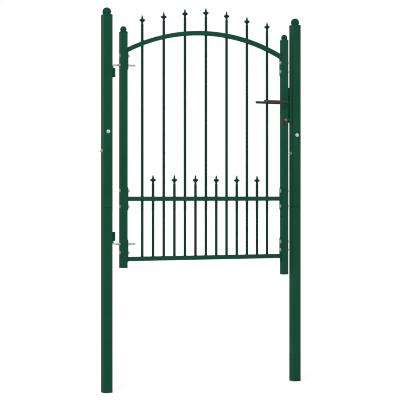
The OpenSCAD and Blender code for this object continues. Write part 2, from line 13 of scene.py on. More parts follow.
import bmesh
import bpy
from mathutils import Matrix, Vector


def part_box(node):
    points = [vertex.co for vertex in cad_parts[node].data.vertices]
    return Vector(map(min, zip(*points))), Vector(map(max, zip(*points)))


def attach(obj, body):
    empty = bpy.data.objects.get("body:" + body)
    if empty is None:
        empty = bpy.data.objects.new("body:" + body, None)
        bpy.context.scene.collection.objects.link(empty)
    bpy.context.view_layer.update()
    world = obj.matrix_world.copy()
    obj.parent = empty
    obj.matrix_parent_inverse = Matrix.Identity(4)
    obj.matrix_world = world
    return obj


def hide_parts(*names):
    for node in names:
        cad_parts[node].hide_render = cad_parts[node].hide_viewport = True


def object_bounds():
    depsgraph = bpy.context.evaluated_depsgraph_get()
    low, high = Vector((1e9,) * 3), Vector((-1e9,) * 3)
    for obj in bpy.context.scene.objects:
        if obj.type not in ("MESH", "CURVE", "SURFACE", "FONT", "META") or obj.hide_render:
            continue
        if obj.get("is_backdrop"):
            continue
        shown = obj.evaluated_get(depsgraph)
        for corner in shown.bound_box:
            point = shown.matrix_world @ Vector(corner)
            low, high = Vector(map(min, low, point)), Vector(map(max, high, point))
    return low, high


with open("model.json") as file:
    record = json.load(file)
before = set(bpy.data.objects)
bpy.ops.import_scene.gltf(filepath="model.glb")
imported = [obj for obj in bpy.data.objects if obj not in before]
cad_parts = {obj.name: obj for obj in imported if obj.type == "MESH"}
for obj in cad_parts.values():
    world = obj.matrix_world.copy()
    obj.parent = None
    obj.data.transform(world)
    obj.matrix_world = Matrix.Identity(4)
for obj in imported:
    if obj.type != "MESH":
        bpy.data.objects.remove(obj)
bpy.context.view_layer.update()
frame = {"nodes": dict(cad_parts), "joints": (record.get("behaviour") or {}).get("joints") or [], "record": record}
nodes = frame["nodes"]
pivots = {joint["name"]: Vector(joint["pos_m"]) for joint in frame["joints"]}
MM = 0.001
NEAR = 0.01 * MM                         # places that lie closer than this are the same place
print("nodes:", len(nodes), "pivots:", {name: tuple(place) for name, place in pivots.items()})

# %% [markdown]
# ## Reading places from the solids
# Several bolts or nuts share one node, so a node's box does not say where each one sits. The mesh of a
# node is loose triangles, and triangles whose corners lie at the same place belong to the same solid.
# Joining such corners into groups gives the box of each separate solid, and with it every place that the
# new pieces need, so nothing is measured twice.

# %% Boxes of the separate solids
def solids(node):
    """The low and high corner of each separate solid of a node, from left to right and then upwards."""
    mesh = nodes[node].data
    places = [tuple(round(v, 5) for v in vertex.co) for vertex in mesh.vertices]
    leader = {place: place for place in places}

    def head(place):
        while leader[place] != place:
            leader[place] = leader[leader[place]]
            place = leader[place]
        return place

    for edge in mesh.edges:
        first, second = (head(places[i]) for i in edge.vertices)
        leader[first] = second
    groups = {}
    for place in leader:
        groups.setdefault(head(place), []).append(place)
    boxes = [(Vector(map(min, zip(*group))), Vector(map(max, zip(*group)))) for group in groups.values()]
    return sorted(boxes, key=lambda box: (round(box[0].x, 3), round(box[0].z, 3)))


def middle(box):
    return (box[0] + box[1]) / 2


for name in ("post_bolts", "post_nuts", "plate_bolts", "plate_nuts", "hinge_rod_nuts"):
    print(name, len(solids(name)), "solids")

# %% [markdown]
# ## Modelling by hand, in code
# Each piece is modelled as at the screen: add a primitive, go into edit mode, select, extrude, bevel or
# spin, and apply a modifier at the end. An operator works on everything that is selected, so `clear` is
# called first, and `pick` selects vertices, edges or faces by where they are. `settle` applies a piece's
# place to its mesh, so that its object ends at the origin as the solids' do.

# %% Tools for modelling
def clear():
    """Leaves edit mode and deselects everything."""
    if bpy.context.object and bpy.context.object.mode != "OBJECT":
        bpy.ops.object.mode_set(mode="OBJECT")
    bpy.ops.object.select_all(action="DESELECT")


def hold(piece):
    """Selects one piece and makes it the active one."""
    clear()
    piece.select_set(True)
    bpy.context.view_layer.objects.active = piece


def edit(piece):
    """Opens one piece in edit mode, with all of it selected."""
    hold(piece)
    bpy.ops.object.mode_set(mode="EDIT")
    bpy.ops.mesh.select_mode(type="VERT")
    bpy.ops.mesh.select_all(action="SELECT")


def pick(piece, kind, test):
    """In edit mode, selects the vertices, edges or faces (kind) whose centre and element pass the test."""
    bpy.ops.mesh.select_mode(type={"verts": "VERT", "edges": "EDGE", "faces": "FACE"}[kind])
    bpy.ops.mesh.select_all(action="DESELECT")
    mesh = bmesh.from_edit_mesh(piece.data)
    for item in getattr(mesh, kind):
        centre = item.co if kind == "verts" else sum((v.co for v in item.verts), Vector()) / len(item.verts)
        if test(centre, item):
            item.select_set(True)
    bmesh.update_edit_mesh(piece.data)


def settle(piece, place=(0, 0, 0), turn=(0, 0, 0)):
    """Turns a piece by degrees, moves it, and applies both to its mesh."""
    hold(piece)
    piece.location = place
    piece.rotation_euler = [math.radians(angle) for angle in turn]
    bpy.ops.object.transform_apply(location=True, rotation=True, scale=True)
    return piece


def modify(piece, kind, **settings):
    """Adds a modifier with its settings and applies it."""
    hold(piece)
    modifier = piece.modifiers.new(kind.lower(), kind)
    for key, value in settings.items():
        setattr(modifier, key, value)
    bpy.ops.object.modifier_apply(modifier=modifier.name)


def tidy(piece, angle=35):
    """Merges doubles, turns the faces outwards, smooths up to an angle and says if the shell is closed."""
    edit(piece)
    bpy.ops.mesh.remove_doubles(threshold=NEAR / 10)
    bpy.ops.mesh.normals_make_consistent(inside=False)
    mesh = bmesh.from_edit_mesh(piece.data)
    faces, open_edges = len(mesh.faces), sum(len(edge.link_faces) != 2 for edge in mesh.edges)
    hold(piece)
    bpy.ops.object.shade_smooth_by_angle(angle=math.radians(angle))
    print(f"{piece.name}: {faces} faces, {open_edges} open edges")
    return piece


def copy_of(piece, place=(0, 0, 0), turn=(0, 0, 0)):
    """A copy with its own mesh, turned and put in its place."""
    twin = piece.copy()
    twin.data = piece.data.copy()
    bpy.context.scene.collection.objects.link(twin)
    return settle(twin, place, turn)


def join(name, pieces):
    """Joins pieces into one, under the given name."""
    hold(pieces[0])
    for piece in pieces:
        piece.select_set(True)
    if len(pieces) > 1:
        bpy.ops.object.join()
    joined = bpy.context.object
    joined.name = joined.data.name = name
    return joined


def discard(*pieces):
    """Deletes pieces that only served as tools or masters."""
    for piece in pieces:
        bpy.data.objects.remove(piece)


print("modelling tools ready")

# %% [markdown]
# Everything that a lathe would turn, such as a spear head, a bolt or a washer, starts here as a single
# vertex. It is extruded along half the outline of the piece and then spun round the Z axis. The outline
# is a list of radius and height in millimetres. A closed outline, as of a ring, is joined end to end
# before the spin.

# %% Turning on a lathe
def trace(name, outline, closed=False):
    """A line of edges through (x, z) points in millimetres, in the plane of the gate."""
    clear()
    places = [Vector((x, 0, z)) * MM for x, z in outline]
    bpy.ops.mesh.primitive_plane_add(size=MM, location=places[0])
    piece = bpy.context.object
    piece.name = piece.data.name = name
    settle(piece, places[0])
    edit(piece)
    bpy.ops.mesh.merge(type="CENTER")
    for here, there in zip(places, places[1:]):
        bpy.ops.mesh.extrude_vertices_move(TRANSFORM_OT_translate={"value": there - here})
    if closed:
        ends = (places[0], places[-1])
        pick(piece, "verts", lambda c, v: any((c - end).length < NEAR for end in ends))
        bpy.ops.mesh.edge_face_add()
    return piece


def lathe(name, outline, steps=32, closed=False, angle=35):
    """Spins an outline of (radius, height) points in millimetres round the Z axis."""
    piece = trace(name, outline, closed)
    bpy.ops.mesh.select_all(action="SELECT")
    bpy.ops.mesh.spin(steps=steps, angle=math.tau, center=(0, 0, 0), axis=(0, 0, 1))
    return tidy(piece, angle)


def arc(centre, radii, start, stop, steps):
    """Points on an ellipse round centre, from one angle to another in degrees."""
    angles = [math.radians(start + (stop - start) * i / steps) for i in range(steps + 1)]
    return [(centre[0] + radii[0] * math.cos(a), centre[1] + radii[1] * math.sin(a)) for a in angles]


print("an arc of four points:", [(round(r, 2), round(z, 2)) for r, z in arc((0, 0), (1, 1), 0, 90, 3)])

# %% [markdown]
# ## Shader sums as plain Python
# A finish is mostly sums on noise. `Value` wraps a socket, so that `1 - mask * 0.3` adds two Math nodes.
# Colours and directions do not pass through Math nodes, which would turn a colour grey: `blend` mixes
# two colours with a Mix node instead.

# %% Socket sums
class Value:
    """A socket that can be added, subtracted and multiplied."""

    def __init__(self, tree, socket):
        self.tree, self.socket = tree, socket

    def _sum(self, operation, first, second):
        return add_node(self.tree, "ShaderNodeMath", {"operation": operation}, {0: first, 1: second})

    def __add__(self, other): return self._sum("ADD", self, other)
    def __radd__(self, other): return self._sum("ADD", other, self)
    def __sub__(self, other): return self._sum("SUBTRACT", self, other)
    def __rsub__(self, other): return self._sum("SUBTRACT", other, self)
    def __mul__(self, other): return self._sum("MULTIPLY", self, other)
    def __rmul__(self, other): return self._sum("MULTIPLY", other, self)


def connect(tree, socket, value):
    """Links a Value to a socket, or sets the socket to a plain number or colour."""
    if isinstance(value, Value):
        tree.links.new(value.socket, socket)
    else:
        socket.default_value = value


def add_node(tree, kind, settings=None, inputs=None, output=0):
    """Adds a node: its settings first, then the values or links of its sockets. Gives the named output."""
    node = tree.nodes.new(kind)
    for key, value in (settings or {}).items():
        setattr(node, key, value)
    for key, value in (inputs or {}).items():
        connect(tree, node.inputs[key], value)
    return Value(tree, node.outputs[output])


def blend(tree, share, first, second):
    """A colour that goes from first to second as share goes from 0 to 1."""
    return add_node(tree, "ShaderNodeMix", {"data_type": "RGBA"}, {0: share, 6: first, 7: second}, output=2)


def new_finish(name):
    """A material, its node tree, its Principled shader and the place on the piece."""
    material = bpy.data.materials.new(name)
    material.use_nodes = True
    tree = material.node_tree
    return material, tree, tree.nodes["Principled BSDF"], add_node(tree, "ShaderNodeTexCoord", output=3)


def feed(tree, shader, **sockets):
    """Sets or links a shader's sockets by name; an underscore stands for a space."""
    for name, value in sockets.items():
        connect(tree, shader.inputs[name.replace("_", " ")], value)


def noise(tree, place, scale, detail=3.0, stretch=(1, 1, 1)):
    """Noise from 0 to 1, with scale features to the metre, drawn out where stretch is below 1."""
    spot = add_node(tree, "ShaderNodeMapping", {}, {0: place, 3: stretch})
    return add_node(tree, "ShaderNodeTexNoise", {}, {"Vector": spot, "Scale": scale, "Detail": detail})


def between(tree, value, low, high):
    """0 below low, 1 above high and a soft step between them."""
    return add_node(tree, "ShaderNodeMapRange", {"interpolation_type": "SMOOTHSTEP"},
                    {"Value": value, "From Min": low, "From Max": high})


def bump(tree, height, strength, distance):
    """The direction of a surface that is raised by distance metres where height is 1."""
    return add_node(tree, "ShaderNodeBump", {},
                    {"Strength": strength, "Distance": distance, "Height": height})


print("socket sums ready")

# %% [markdown]
# ## Powder coat
# The tubes are sprayed with dry powder that melts into an even coat in an oven. It leaves three marks: a
# fine orange peel, which is a bump of about a millimetre's width, a very slow drift in tone where the
# coat is thicker or thinner, and single specks of dust. A satin coat like this one has hardly any mirror
# reflection, so its specular level is low and its colour does the work. The posts are made of two lengths,
# and painted shade darkens the coat round the groove where they meet. The keep's coat is painted lighter,
# a painted light for its recessed face, and the bars' coat is painted darker, a painted shade.

# %% Powder coat finish
SATIN = 0.012                            # specular level of the satin coat
DRIFT_SCALE, SPECK_SCALE = 7.0, 520.0    # clouds of tone and specks of dust to the metre
PEEL_H = 0.12 * MM                       # height of the orange peel
# painted shade: the dark colour that is laid over the coat round the posts' seam
SEAM_SHADE = (0.002, 0.010, 0.006, 1)
SEAM_SHADE_SHARE = 0.4                         # how much of the coat the painted seam shade hides
SEAM_FULL, SEAM_END = 0.6 * MM, 1.6 * MM    # from the seam: where the painted shade starts to fade and where it ends


def powder_coat(name, thin, thick, peel=900.0, gloss=SATIN, rough=0.42, seam=None):
    """A sprayed coat, thin and thick being its colours; round a seam at that height it is darkened by painted
    shade.
    """
    material, tree, shader, place = new_finish(name)
    drift = noise(tree, place, DRIFT_SCALE, 4.0)
    speck = between(tree, noise(tree, place, SPECK_SCALE, 1.0), 0.70, 0.78)
    orange_peel = noise(tree, place, peel, 2.0)
    feed(tree, shader, IOR=1.5, Specular_IOR_Level=gloss, Roughness=rough + drift * 0.1 + speck * 0.2,
         Normal=bump(tree, orange_peel + speck * 0.5, 0.16, PEEL_H))
    coat = blend(tree, between(tree, drift, 0.3, 0.7) * 0.8 + speck * 0.2, thin, thick)
    if seam is not None:
        # painted shade: the coat darkens towards the seam between the post's two lengths, standing in for the
        # shade in the groove
        height = add_node(tree, "ShaderNodeSeparateXYZ", {}, {0: place}, output=2)
        away = add_node(tree, "ShaderNodeMath", {"operation": "ABSOLUTE"}, {0: height - seam})
        coat = blend(tree, between(tree, away, SEAM_END, SEAM_FULL) * SEAM_SHADE_SHARE, coat, SEAM_SHADE)
    feed(tree, shader, Base_Color=coat)
    return material


post_joint_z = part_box("hinge_post_lower")[1].z
tube_tones = (0.0075, 0.060, 0.034, 1), (0.0095, 0.069, 0.040, 1)
tube_green = powder_coat("powder_coat_green", *tube_tones)
post_green = powder_coat("powder_coat_on_posts", *tube_tones, seam=post_joint_z)
# painted shade: the coat of the bars, spear heads and bar welds is darker than the tubes', standing in for the
# shade on the thin round bars
bar_green_painted_shade = powder_coat("powder_coat_on_bars",
                        (0.0062, 0.034, 0.022, 1), (0.0080, 0.040, 0.026, 1), peel=1300.0)
cast_green = powder_coat("powder_coat_on_castings",
                         (0.0065, 0.056, 0.032, 1), (0.0090, 0.066, 0.038, 1), peel=600.0)
# painted light: the keep's coat is lighter than the tubes', standing in for the light that its recessed face gets
# too little of
keep_green_painted_light = powder_coat("powder_coat_on_keep",
                         (0.0100, 0.079, 0.046, 1), (0.0120, 0.088, 0.052, 1), peel=700.0)
plug_green = powder_coat("moulded_dark_green",
                         (0.0045, 0.034, 0.021, 1), (0.0060, 0.040, 0.025, 1), gloss=0.12, rough=0.5)
lever_black = powder_coat("black_lever_coat",
                          (0.026, 0.024, 0.023, 1), (0.037, 0.034, 0.032, 1),
                          peel=700.0, gloss=0.22, rough=0.38)
coats = (tube_green, post_green, bar_green_painted_shade, cast_green, keep_green_painted_light, plug_green, lever_black)
print("coats:", [coat.name for coat in coats])

# %% [markdown]
# ## Plated metal
# Bolts, nuts and hinge rods are zinc plated. The zinc is passivated in a bath that leaves a thin film
# with a cool tint and a few warm clouds, and the barrel in which the pieces tumble gives them small dull
# marks. The bolts of the plates are from a duller batch than those of the posts. The lock parts are
# nickel plated, and the sleeves inside the posts are plain rolled steel with the long streaks of rolling.

# %% Metal finishes
GRAIN_H = 0.08 * MM                      # height of the grain


def plated(name, cool, warm, rough, streak=(1, 1, 1), marks=0.12):
    """A plated metal: cool is its main tint and warm the tint of its clouds."""
    material, tree, shader, place = new_finish(name)
    cloud = noise(tree, place, 160.0, 3.0)
    grain = noise(tree, place, 1400.0, 2.0, streak)
    dull = between(tree, noise(tree, place, 700.0, 2.0), 0.52, 0.66)
    feed(tree, shader, Metallic=1.0, Roughness=rough + grain * 0.1 + dull * marks,
         Base_Color=blend(tree, between(tree, cloud, 0.4, 0.7), cool, warm),
         Normal=bump(tree, grain + dull * 0.4, 0.12, GRAIN_H))
    return material


zinc = plated("zinc_plating", (0.33, 0.49, 0.42, 1), (0.41, 0.51, 0.43, 1), 0.42)
dull_zinc = plated("dull_zinc_plating", (0.175, 0.25, 0.22, 1), (0.22, 0.27, 0.235, 1), 0.46)
rod_zinc = plated("zinc_on_hinge_rods", (0.56, 0.55, 0.56, 1), (0.64, 0.61, 0.60, 1), 0.42)
nickel = plated("dark_nickel", (0.042, 0.041, 0.036, 1), (0.075, 0.07, 0.06, 1), 0.32)
plug_nickel = plated("nickel_plugs", (0.13, 0.155, 0.14, 1), (0.18, 0.19, 0.165, 1), 0.30)
face_nickel = plated("brushed_nickel", (0.30, 0.31, 0.30, 1), (0.36, 0.36, 0.34, 1), 0.36, (6, 6, 1))
rolled_steel = plated("rolled_steel", (0.24, 0.24, 0.25, 1), (0.32, 0.31, 0.29, 1), 0.45, (6, 6, 0.4))
metals = (zinc, dull_zinc, rod_zinc, nickel, plug_nickel, face_nickel, rolled_steel)
print("metals:", [metal.name for metal in metals])

# %% [markdown]
# ## The solids that keep their shape
# Tubes, rails, plates, lugs and the keep already have the right shape, so they stay as they are and only
# get a finish. Cut plates and lugs still have edges as sharp as a knife, though, and real ones are rounded
# by the grinder and by the coat. Three modifiers do that without touching the mesh: Weld closes the loose
# triangles, a planar Decimate joins flat triangles into whole faces, and Bevel rounds the edges between.

# %% Finishes for the solids
finish_of = {"green_coat": tube_green, "dark_plug": plug_green, "zinc": zinc, "plain_steel": rolled_steel,
             "satin_nickel": face_nickel, "black_lever": lever_black}
special = {"tall_bars": bar_green_painted_shade, "short_bars": bar_green_painted_shade, "hinge_post_upper": post_green,
           "hinge_post_lower": post_green, "latch_post_upper": post_green, "latch_post_lower": post_green,
           "keep": keep_green_painted_light}
for part in frame["record"]["subparts"]:
    data = nodes[part["node"]].data
    data.materials.clear()
    data.materials.append(special.get(part["node"], finish_of[part["material_slot"]]))


def soften(node, width):
    """Rounds the sharp edges of a solid by width millimetres, with modifiers that stay live."""
    thing = nodes[node]
    weld = thing.modifiers.new("close", "WELD")
    weld.merge_threshold = 0.002 * MM
    flat = thing.modifiers.new("whole_faces", "DECIMATE")
    flat.decimate_type, flat.angle_limit = "DISSOLVE", math.radians(0.5)
    edge = thing.modifiers.new("broken_edges", "BEVEL")
    edge.width, edge.segments, edge.limit_method, edge.angle_limit = width * MM, 2, "ANGLE", math.radians(50)


for node, width in (("hinge_side_plates", 0.5), ("latch_side_plates", 0.5), ("upper_hinge_lug", 0.8),
                    ("lower_hinge_lug", 0.8), ("keep", 0.6), ("lock_face_plate", 0.3)):
    soften(node, width)
    print(node, "edges rounded by", width, "mm")

# %% [markdown]
# ## Putting a piece on the gate
# Every new piece rides on one of the three bodies: the posts stand still, the leaf swings, and the handle
# turns in the leaf. A piece that is drawn better than its solid takes that solid's place in the picture.

# %% Dressing a piece
def dress(piece, body, finish, slot, *replaced):
    """Gives a piece its finish, the body it moves with and the nodes it stands for; the slot is not used."""
    piece.data.materials.clear()
    piece.data.materials.append(finish)
    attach(piece, body)
    if replaced:
        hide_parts(*replaced)
    low, high = (Vector(map(f, zip(*(v.co for v in piece.data.vertices)))) for f in (min, max))
    print(piece.name, "on", body, [round(v * 1000, 1) for v in low], [round(v * 1000, 1) for v in high], "mm")
    return piece


# %% [markdown]
# ## Spear heads
# A spear head is a small casting that is pushed on a bar's end and welded: a slim neck, a collar with a
# rounded rim and a pointed tip with a slight belly. It could be sculpted from a cone, but as everything
# in it is round it is turned on the lathe. The profile has a fillet on both sides of the collar, as a
# casting always has, and a tip that is blunted for safety.

# %% One spear head and its copies
BAR_R = 6.0                              # radius of a bar, in millimetres as all that follows
COLLAR_R, COLLAR_HALF_H = 13.25, 4.6
RIM_X = 8.7                              # where the rounding of the collar's rim has its centre
TIP, NECK = 23.5, -22.0                  # tip and foot of the head, from the collar's middle

neck_line = [(0, NECK), (BAR_R, NECK), (BAR_R - 0.1, -20.5), (5.3, -18.4), (4.9, -16.2), (4.8, -13.8),
             (5.1, -11.4)]
under = arc((10.4, -10.6), (4.9, 5.6), 165, 100, 5)
rim = arc((RIM_X, 0), (COLLAR_R - RIM_X, COLLAR_HALF_H), -80, 80, 9)
over = arc((8.6, 9.2), (4.1, 4.2), 260, 190, 4)
point = [(4.2, 11.4), (3.75, 14.0), (3.1, 17.0), (2.3, 19.8), (1.4, 22.0), (0.9, 22.95), (0.45, 23.4),
         (0, TIP)]
head = lathe("spear_head", neck_line + under + rim + over + point, angle=60)

for node, name in (("tall_spears", "tall_spear_heads"), ("short_spears", "short_spear_heads")):
    collars = [(middle(box).x, 0, box[1].z - TIP * MM) for box in solids(node)]
    dress(join(name, [copy_of(head, collar) for collar in collars]), "leaf", bar_green_painted_shade, "green_coat", node)
discard(head)

# %% [markdown]
# ## Ball caps
# Each post and stile is closed by a cap: a square plate with rounded corners and a sloped shoulder, and a
# ball that grows out of it over a short round neck. The plate is a cube whose upright edges are bevelled,
# whose top is extruded and drawn in for the shoulder, and whose edges are then broken. The ball and its
# neck are turned.

# %% A cap for each tube
BALL_SHARE = 0.945                       # a ball's radius, as a share of the tube's half width
BALL_SEAT = 0.57                         # height of its centre above the plate, as a share of its radius
RIM_H, SHOULDER = 4.0, 4.2               # height of the plate's upright rim, and rise and run of its slope
CORNER_R, EDGE_R = 2.4, 0.9              # rounding of the plate's corners and of its edges
NECK_H, NECK_SINK = 1.2, 1.5             # height of the neck, and how far its foot is sunk into the plate


def ball_cap(name, width, ball_r):
    """A cap with its underside at z = 0, in millimetres."""
    clear()
    half = width / 2
    bpy.ops.mesh.primitive_cube_add(size=1, location=(0, 0, RIM_H * MM / 2))
    plate = bpy.context.object
    plate.scale = (width * MM, width * MM, RIM_H * MM)
    settle(plate, plate.location.copy())
    edit(plate)
    pick(plate, "edges", lambda c, e: abs(c.z - RIM_H * MM / 2) < NEAR)
    bpy.ops.mesh.bevel(offset=CORNER_R * MM, segments=4, affect="EDGES")
    pick(plate, "faces", lambda c, f: f.normal.z > 0.9)
    bpy.ops.mesh.extrude_region_move(TRANSFORM_OT_translate={"value": (0, 0, SHOULDER * MM)})
    shrink = (half - SHOULDER) / half
    bpy.ops.transform.resize(value=(shrink, shrink, 1), center_override=(0, 0, 0))

    def level_edge(centre, edge):
        first, second = (v.co.z for v in edge.verts)
        return edge.calc_face_angle(0) > math.radians(30) and first > NEAR and abs(first - second) < NEAR

    pick(plate, "edges", level_edge)
    bpy.ops.mesh.bevel(offset=EDGE_R * MM, segments=3, affect="EDGES")
    tidy(plate, 30)
    top = RIM_H + SHOULDER
    drop = BALL_SEAT * ball_r - NECK_H
    sphere = arc((0, top + drop + NECK_H), (ball_r, ball_r), -math.degrees(math.asin(drop / ball_r)), 90, 22)
    neck_r = sphere[0][0]
    fillet = [(0, top - NECK_SINK), (neck_r + 1.6, top - NECK_SINK), (neck_r + 1.6, top - 0.1),
              (neck_r + 0.55, top + 0.35)]
    ball = lathe("ball", fillet + sphere, steps=48, angle=50)
    return join(name, [plate, ball])


for node, tube, body in (("hinge_post_cap", "hinge_post_upper", "posts"),
                         ("latch_post_cap", "latch_post_upper", "posts"),
                         ("hinge_stile_cap", "hinge_stile", "leaf"),
                         ("latch_stile_cap", "latch_stile", "leaf")):
    low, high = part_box(node)
    tube_low, tube_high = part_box(tube)
    ball_r = BALL_SHARE * (tube_high.x - tube_low.x) / MM / 2
    cap = ball_cap(node + "_ball", (high.x - low.x) / MM, ball_r)
    settle(cap, (middle((low, high)).x, middle((low, high)).y, tube_high.z))
    dress(cap, body, cast_green, "green_coat", node)

# %% [markdown]
# ## Screw threads
# A thread is a ridge that winds round the bolt. A texture could fake it, but its outline would stay
# straight, so a small triangle is wound up with the Screw modifier: one full turn for each pitch. Its two
# open ends are then closed, and its root is sunk a little into the bolt's core.

# %% A helical ridge
SCREW_R, PITCH = 4.0, 1.25               # radius and pitch of the screws and rods, which are 8 mm thick
CORE_R = SCREW_R - 0.5 * PITCH           # radius of their threaded length without the ridge
RIDGE_FOOT_R = SCREW_R - 0.55 * PITCH - 0.12
RIDGE_W = 0.92 * PITCH


def thread(name, length):
    """The ridge of a thread, from z = 0 up to about length. Millimetres."""
    clear()
    bpy.ops.mesh.primitive_circle_add(vertices=3, radius=MM, fill_type="NOTHING")
    ridge = bpy.context.object
    ridge.name = ridge.data.name = name
    edit(ridge)
    corners = [(RIDGE_FOOT_R, 0), (SCREW_R, RIDGE_W / 2), (RIDGE_FOOT_R, RIDGE_W)]
    for i, (radius, height) in enumerate(corners):
        pick(ridge, "verts", lambda c, v: v.index == i)
        here = bmesh.from_edit_mesh(ridge.data).verts[:][i].co
        bpy.ops.transform.translate(value=Vector((radius, 0, height)) * MM - here)
    turns = max(1, int(length / PITCH) - 1)
    modify(ridge, "SCREW", axis="Z", angle=math.tau, screw_offset=PITCH * MM, iterations=turns, steps=16,
           render_steps=16, use_merge_vertices=False)
    edit(ridge)
    bpy.ops.mesh.fill_holes(sides=3)
    return tidy(ridge, 20)


print("a thread's ridge is", round(SCREW_R - CORE_R, 3), "mm high above its core")

# %% [markdown]
# ## Coach bolts
# The post bolts and the plate bolts are coach bolts. The head is a low dome with a thin rim, a square
# under it bites into the hole, and only the last part of the shank is threaded. The head and shank are
# turned, the square is a small block, and the thread is wound on.

# %% Bolts for posts and plates
HEAD_R, HEAD_RIM_H = 9.5, 0.7            # radius of a bolt's head and height of its rim
BOLT_TURN = {(0, 1): (0, 90, 0), (0, -1): (0, -90, 0),      # by the axis that a bolt lies along and the
             (1, 1): (-90, 0, 0), (1, -1): (90, 0, 0)}      # side of its head: the turn of its copy


def coach_bolt(name, head_h, length, thread_l):
    """A bolt whose head stands on z = 0 and whose shank hangs down. Millimetres."""
    dome = arc((0, HEAD_RIM_H), (HEAD_R, head_h - HEAD_RIM_H), 0, 90, 12)
    shank = [(0, -length), (CORE_R - 0.6, -length), (CORE_R, -length + 0.7), (CORE_R, -length + thread_l),
             (SCREW_R, -length + thread_l + 0.5), (SCREW_R, 0), (HEAD_R - 0.25, 0), (HEAD_R, 0.25)]
    bolt = lathe(name, shank + dome)
    clear()
    square_at = (0, 0, -SCREW_R / 2 * MM)
    bpy.ops.mesh.primitive_cube_add(size=2 * SCREW_R * MM, location=square_at)
    square = settle(bpy.context.object, square_at)
    square.scale.z = 0.5
    settle(square)
    edit(square)
    bpy.ops.mesh.bevel(offset=0.3 * MM, segments=1, affect="EDGES")
    ridge = thread("ridge", thread_l)
    settle(ridge, (0, 0, -length * MM))
    return join(name, [bolt, tidy(square), ridge])


def head_side(node, low, high, axis):
    """1 or -1: the end of a bolt's solid, along its own axis, at which it is widest."""
    place = (low + high) / 2
    across = [i for i in range(3) if i != axis]
    inside = [v.co for v in nodes[node].data.vertices
              if all(low[i] - NEAR <= v.co[i] <= high[i] + NEAR for i in range(3))]
    widest = max(inside, key=lambda p: sum((p[i] - place[i]) ** 2 for i in across))
    return 1 if widest[axis] > place[axis] else -1


def lay_bolts(name, node, body, head_h, thread_l, finish=zinc):
    """Puts a bolt in the place of each solid of the node, with its head where the solid is widest."""
    masters, copies = {}, []
    for low, high in solids(node):
        size, place = high - low, (low + high) / 2
        axis = max(range(3), key=lambda i: size[i])
        side = head_side(node, low, high, axis)
        place[axis] += side * (size[axis] / 2 - head_h * MM)
        length = round(size[axis] / MM - head_h, 1)
        if length not in masters:
            masters[length] = coach_bolt(f"{name}_{length}", head_h, length, thread_l)
        copies.append(copy_of(masters[length], place, BOLT_TURN[axis, side]))
    discard(*masters.values())
    dress(join(name, copies), body, finish, "zinc", node)


lay_bolts("post_coach_bolts", "post_bolts", "posts", head_h=4.6, thread_l=16)
lay_bolts("plate_coach_bolts", "plate_bolts", "leaf", head_h=4.0, thread_l=14, finish=dull_zinc)

# %% [markdown]
# ## Hexagon nuts and washers
# A nut starts as a six-sided bar. On the lathe its corners are turned off at both faces, which leaves the
# curved line that every real nut shows, and its bore gets a countersink. Here the same cuts are made with
# Boolean modifiers: the bar keeps only what it shares with a turned blank, and a turned tool is taken
# out of its middle. A washer is a closed outline spun round.

# %% Nuts for posts, plates and rods
ACROSS, NUT_H = 13, 6.5                  # across the flats of a nut, and its height
WASHER_R, WASHER_T = 8.5, 1.6
COUNTERSINK = 0.6
POST_TUBES, LEAF_TUBES = ("hinge_post_upper", "latch_post_upper"), ("hinge_stile", "latch_stile")


def hex_nut():
    """A nut from z = 0 up, in millimetres, with two of its flats facing +X and -X."""
    clear()
    bpy.ops.mesh.primitive_cylinder_add(vertices=6, radius=ACROSS / math.sqrt(3) * MM, depth=NUT_H * MM)
    nut = settle(bpy.context.object, (0, 0, NUT_H * MM / 2), (0, 0, 30))
    nut.name = nut.data.name = "nut"
    edge_r, corner_r = ACROSS / 2 * 0.97, ACROSS / math.sqrt(3) + 0.3
    drop = (corner_r - edge_r) * 0.55
    blank = lathe("blank", [(0, -0.01), (edge_r, -0.01), (corner_r, drop), (corner_r, NUT_H - drop),
                            (edge_r, NUT_H + 0.01), (0, NUT_H + 0.01)], steps=48)
    modify(nut, "BOOLEAN", operation="INTERSECT", object=blank, solver="EXACT")
    wide = SCREW_R + COUNTERSINK + 1
    tool = lathe("tool", [(0, -1), (wide, -1), (SCREW_R, COUNTERSINK), (SCREW_R, NUT_H - COUNTERSINK),
                          (wide, NUT_H + 1), (0, NUT_H + 1)])
    modify(nut, "BOOLEAN", operation="DIFFERENCE", object=tool, solver="EXACT")
    discard(blank, tool)
    return tidy(nut, 30)


def washer():
    """A flat ring from z = 0 up, with its edges broken. Millimetres."""
    hole_r = SCREW_R + 0.2
    ring = [(hole_r, 0.15), (hole_r + 0.15, 0), (WASHER_R - 0.2, 0), (WASHER_R, 0.2),
            (WASHER_R, WASHER_T - 0.2), (WASHER_R - 0.2, WASHER_T), (hole_r + 0.15, WASHER_T),
            (hole_r, WASHER_T - 0.15)]
    return lathe("washer", ring, steps=48, closed=True)


def outward(tubes, axis, place):
    """1 or -1: the side of its tube on which a nut sits, along its own axis."""
    tube = min(tubes, key=lambda name: abs(middle(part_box(name)).x - place.x))
    return 1 if place[axis] > middle(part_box(tube))[axis] else -1


def lay_nuts(name, node, body, tubes, with_washer=False, finish=zinc):
    """Puts a nut, and a washer where it has one, in the place of each solid of the node."""
    parts = [settle(hex_nut(), (0, 0, WASHER_T * MM if with_washer else 0))]
    if with_washer:
        parts.append(washer())
    master, copies = join("nut_master", parts), []
    for low, high in solids(node):
        size, place = high - low, (low + high) / 2
        axis = min(range(3), key=lambda i: size[i])
        side = outward(tubes, axis, place)
        place[axis] -= side * size[axis] / 2
        copies.append(copy_of(master, place, {0: (0, 90 * side, 0), 1: (-90 * side, 0, 0)}[axis]))
    discard(master)
    dress(join(name, copies), body, finish, "zinc", node)


